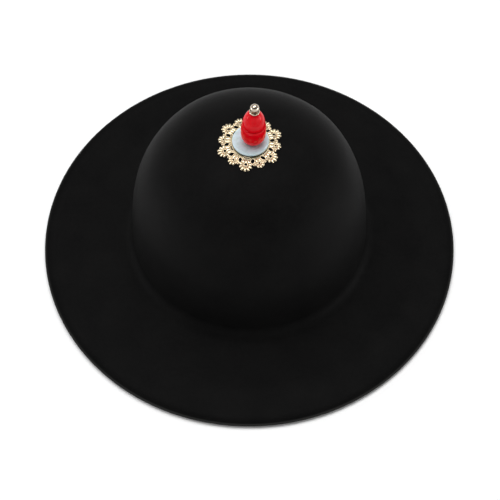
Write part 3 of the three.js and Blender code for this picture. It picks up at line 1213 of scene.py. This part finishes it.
# %% A drop
DROP_MIDDLE = 0.72
DROP_TAPER = 0.62
DROP_ENDS = 1.03
DROP_BLUNTNESS = 0.16
DROP_SEGMENTS = 14
DROP_RINGS = 9


def attribute(tree, label):
    """A number that the start mesh carries on each of its points."""
    return tree.node("GeometryNodeInputNamedAttribute", {"data_type": "FLOAT"}, {"Name": label})


def combined(tree, x, y, z):
    """A vector from three numbers or wires."""
    return tree.node("ShaderNodeCombineXYZ", {}, {"X": x, "Y": y, "Z": z})


def drop_form(tree):
    """A ball one unit across that is narrower at one end and blunt at both, like a drop."""
    sockets = {"Segments": DROP_SEGMENTS, "Rings": DROP_RINGS, "Radius": 0.5}
    ball = tree.node("GeometryNodeMeshUVSphere", {}, sockets)
    position = tree.node("GeometryNodeInputPosition")
    x = tree.node("ShaderNodeSeparateXYZ", {}, {0: position}, "X")
    blunt = (DROP_ENDS - x * x * 4) ** -DROP_BLUNTNESS
    narrow = (DROP_MIDDLE + x * DROP_TAPER) * blunt
    shape = combined(tree, 1.0, narrow, narrow)
    pulled = tree.node("ShaderNodeVectorMath", {"operation": "MULTIPLY"}, {0: position, 1: shape})
    return tree.node("GeometryNodeSetPosition", {}, {"Geometry": ball, "Position": pulled})


def petal_forms(tree, points):
    """A drop on every loose point, stretched and turned by the point's attributes."""
    size = combined(
        tree, attribute(tree, "length"), attribute(tree, "width"), attribute(tree, "height")
    )
    turn = combined(tree, 0.0, 0.0, attribute(tree, "turn"))
    placed = tree.node(
        "GeometryNodeInstanceOnPoints",
        {},
        {"Points": points, "Instance": drop_form(tree), "Rotation": turn, "Scale": size},
    )
    return tree.node("GeometryNodeRealizeInstances", {}, {0: placed})


# %% [markdown]
# The web gets its thickness by extruding all its faces at once and closing the underside with the flat
# web turned over. Its faces are marked, so that they can have the darker gold of painted shade at the end.
# An edge with a face on one side only is a cut edge, and a round wire runs along each of these.

# %% Web and wires
WIRE_SIDES = 10


def moved_up(tree, geometry, height):
    """Geometry lifted by a height."""
    offset = combined(tree, 0.0, 0.0, height)
    return tree.node("GeometryNodeSetPosition", {}, {"Geometry": geometry, "Offset": offset})


def solid_web(tree, web, given):
    """The web with its thickness and at its height, with its faces marked."""
    up = combined(tree, 0.0, 0.0, 1.0)
    raised = tree.node(
        "GeometryNodeExtrudeMesh",
        {"mode": "FACES"},
        {"Mesh": web, "Offset": up, "Offset Scale": given["Thickness"], "Individual": False},
    )
    below = tree.node("GeometryNodeFlipFaces", {}, {"Mesh": web})
    both = tree.node("GeometryNodeJoinGeometry", {}, {0: [raised, below]})
    sheet = tree.node("GeometryNodeMergeByDistance", {}, {"Geometry": both, "Distance": WELD})
    return tree.node(
        "GeometryNodeStoreNamedAttribute",
        {"data_type": "BOOLEAN", "domain": "FACE"},
        {
            "Geometry": moved_up(tree, sheet, given["Web height"] - given["Thickness"] / 2),
            "Name": "web",
            "Value": True,
        },
    )


def rim_wires(tree, web, given):
    """A round wire along every cut edge."""
    faces_beside = tree.node("GeometryNodeInputMeshEdgeNeighbors", {}, {}, "Face Count")
    is_rim = tree.node(
        "FunctionNodeCompare", {"data_type": "INT", "operation": "EQUAL"}, {"A": faces_beside, "B": 1}
    )
    rim = tree.node("GeometryNodeMeshToCurve", {}, {"Mesh": web, "Selection": is_rim})
    sockets = {"Resolution": WIRE_SIDES, "Radius": given["Wire radius"]}
    round_wire = tree.node("GeometryNodeCurvePrimitiveCircle", {}, sockets)
    return tree.node("GeometryNodeCurveToMesh", {}, {"Curve": rim, "Profile Curve": round_wire})


# %% [markdown]
# The plate's tree splits its start mesh into the web and the loose points and makes web, wires and drops.
# All of it is still flat. The last step lowers each point by as much as the crown has fallen away at that
# distance from its top, so the whole plate bends over the crown in one go.

# %% The plate's tree
def plate_tree():
    """A tree that builds the plate flat and bends it over a dome."""
    inputs = {
        "Thickness": "NodeSocketFloat",
        "Wire radius": "NodeSocketFloat",
        "Web height": "NodeSocketFloat",
        "Middle height": "NodeSocketFloat",
        "Dome depth": "NodeSocketFloat",
        "Dome radius": "NodeSocketFloat",
        "Dome power": "NodeSocketFloat",
        "Finish": "NodeSocketMaterial",
        "Web painted shade": "NodeSocketMaterial",
    }
    tree, given = new_shape_tree("openwork_plate", inputs)
    is_form = tree.node(
        "FunctionNodeCompare",
        {"data_type": "FLOAT", "operation": "GREATER_THAN"},
        {0: attribute(tree, "length"), 1: 0.0},
    )
    points = tree.node(
        "GeometryNodeSeparateGeometry", {"domain": "POINT"}, {0: given["Geometry"], 1: is_form}
    )
    web = points.output("Inverted")
    sheet = solid_web(tree, web, given)
    wires = moved_up(tree, rim_wires(tree, web, given), given["Middle height"])
    forms = moved_up(tree, petal_forms(tree, points), given["Middle height"])
    flat = tree.node("GeometryNodeJoinGeometry", {}, {0: [sheet, wires, forms]})
    reach = distance_from_axis(tree, tree.node("GeometryNodeInputPosition"))
    fall = given["Dome depth"] * (reach / given["Dome radius"]) ** given["Dome power"]
    smooth = tree.node("GeometryNodeSetShadeSmooth", {}, {0: moved_up(tree, flat, 0 - fall)})
    is_web = tree.node("GeometryNodeInputNamedAttribute", {"data_type": "BOOLEAN"}, {"Name": "web"})
    # The web's faces get the darker gold, painted shade for the hollows behind the raised forms.
    end_shape_tree(tree, smooth, given["Finish"], is_web, given["Web painted shade"])
    return tree


# %% [markdown]
# The dome's three numbers describe the crown near its top: how far it has fallen at a distance from the
# middle, and how quickly the fall grows. The plate sits a little off the middle of the crown.

# %% The openwork plate
PLATE_SHIFT = 0.2 * MM
plate = new_piece("openwork_plate", plate_start())
reshape(
    plate,
    plate_tree(),
    {
        "Thickness": 0.4 * MM,
        "Wire radius": 0.36 * MM,
        "Web height": 0.38 * MM,
        "Middle height": 0.62 * MM,
        "Dome depth": 37.91 * MM,
        "Dome radius": 90.1 * MM,
        "Dome power": 2.3,
        "Finish": TUMBLED_GOLD,
        "Web painted shade": WEB_SHADE_GOLD,
    },
)
plate.data.transform(Matrix.Translation((PLATE_SHIFT, 0, PLATE_FOOT)))
closed_up(plate, sharp_from=50)
install(plate, "filigree_plate")


# %% [markdown]
# The studio is plain. Its floor is matt and so pale that it comes out white, and it reaches far enough to
# have no visible edge from low angles.

# %% Floor
FLOOR_HALF = 2.0


def floor_piece():
    """A square of pale paint under the hat, for looks only."""
    mesh = bpy.data.meshes.new("floor")
    half = FLOOR_HALF
    corners = [(-half, -half, 0), (half, -half, 0), (half, half, 0), (-half, half, 0)]
    mesh.from_pydata(corners, [], [(0, 1, 2, 3)])
    floor = new_piece("floor", mesh)
    material, tree = new_finish("floor_paint")
    place = tree.node("ShaderNodeTexCoord", {}, {}, "Object")
    tone = noise(tree, place, 3, 1)
    end_finish(tree, {
        "Base Color": mixed(tree, tone, grey(0.95), grey(0.97)),
        "Roughness": 0.9,
        "Specular IOR Level": 0.1,
    })
    mesh.materials.append(material)


floor_piece()


# %% [markdown]
# A black hat shows its form only by what it reflects, so the lamps matter more than on a pale object. A
# large panel above draws the pale line along the top of the crown and lights the ornament. A wide, weak
# one stands in front, behind the camera, and one on either side fills the crown's flanks. Two small ones
# stand low on the left and right and are there for the glossy beads, which mirror them.

# %% Lamps
LAMP_TARGET = Vector((0, 0, 0.08))


def lamp(name, place, size, power):
    """A soft rectangular lamp that faces the hat."""
    print("lamp:", name, "of", power, "watts at", place)
    data = bpy.data.lights.new(name, "AREA")
    data.shape = "RECTANGLE"
    data.size, data.size_y = size
    data.energy = power
    made = bpy.data.objects.new(name, data)
    made.location = place
    towards = LAMP_TARGET - Vector(place)
    made.rotation_euler = towards.to_track_quat("-Z", "Y").to_euler()
    scene.collection.objects.link(made)


lamp("left_window", (-1.5, -0.12, 0.13), (0.40, 0.20), 4.5)
lamp("right_window", (1.5, -0.16, 0.13), (0.40, 0.20), 4.5)
lamp("left_panel", (-1.45, -0.35, 0.60), (0.8, 0.5), 0.8)
lamp("right_panel", (1.5, -0.75, 0.32), (1.3, 0.5), 3.5)
lamp("front_panel", (0, -1.9, 0.62), (3.4, 1.0), 8)
lamp("top_panel", (-0.15, 0.30, 1.8), (2.0, 1.2), 32)


# %% [markdown]
# The surround is the rest of the room. It is palest at the horizon, where it meets the floor, and greyer
# overhead. High up behind the camera it is dark, because that is the part of the room that the beads'
# front sides mirror, and a pale room there would veil their red. The Standard view keeps white white.

# %% Surround
HORIZON_TO_ZENITH = [(0.0, 0.90), (0.08, 0.80), (0.2, 0.66), (0.6, 0.42), (1.0, 0.42)]
TOWARDS_DARK_SIDE = (0, -0.5, 0.87)
DARK_FROM = 0.3
DARK_TO = 0.85
DARK_STRENGTH = 0.3

world = bpy.data.worlds.new("surround")
scene.world = world
world.use_nodes = True
world.node_tree.nodes.clear()
surround = Tree(world.node_tree)
direction = surround.node("ShaderNodeTexCoord", {}, {}, "Generated")
rise = surround.node("ShaderNodeSeparateXYZ", {}, {0: direction}, "Z")
stops = [(position, (value,) * 3) for position, value in HORIZON_TO_ZENITH]
tone = surround.node("ShaderNodeValToRGB", {"stops": stops}, {0: rise})
facing = surround.node(
    "ShaderNodeVectorMath", {"operation": "DOT_PRODUCT"}, {0: direction, 1: TOWARDS_DARK_SIDE}, "Value"
)
open_side = surround.node(
    "ShaderNodeMapRange",
    {"interpolation_type": "SMOOTHSTEP"},
    {"Value": facing, "From Min": DARK_FROM, "From Max": DARK_TO, "To Min": 1.0, "To Max": DARK_STRENGTH},
)
glow = surround.node("ShaderNodeBackground", {}, {"Color": tone, "Strength": open_side})
surround.node("ShaderNodeOutputWorld", {}, {"Surface": glow})
scene.view_settings.view_transform = "Standard"
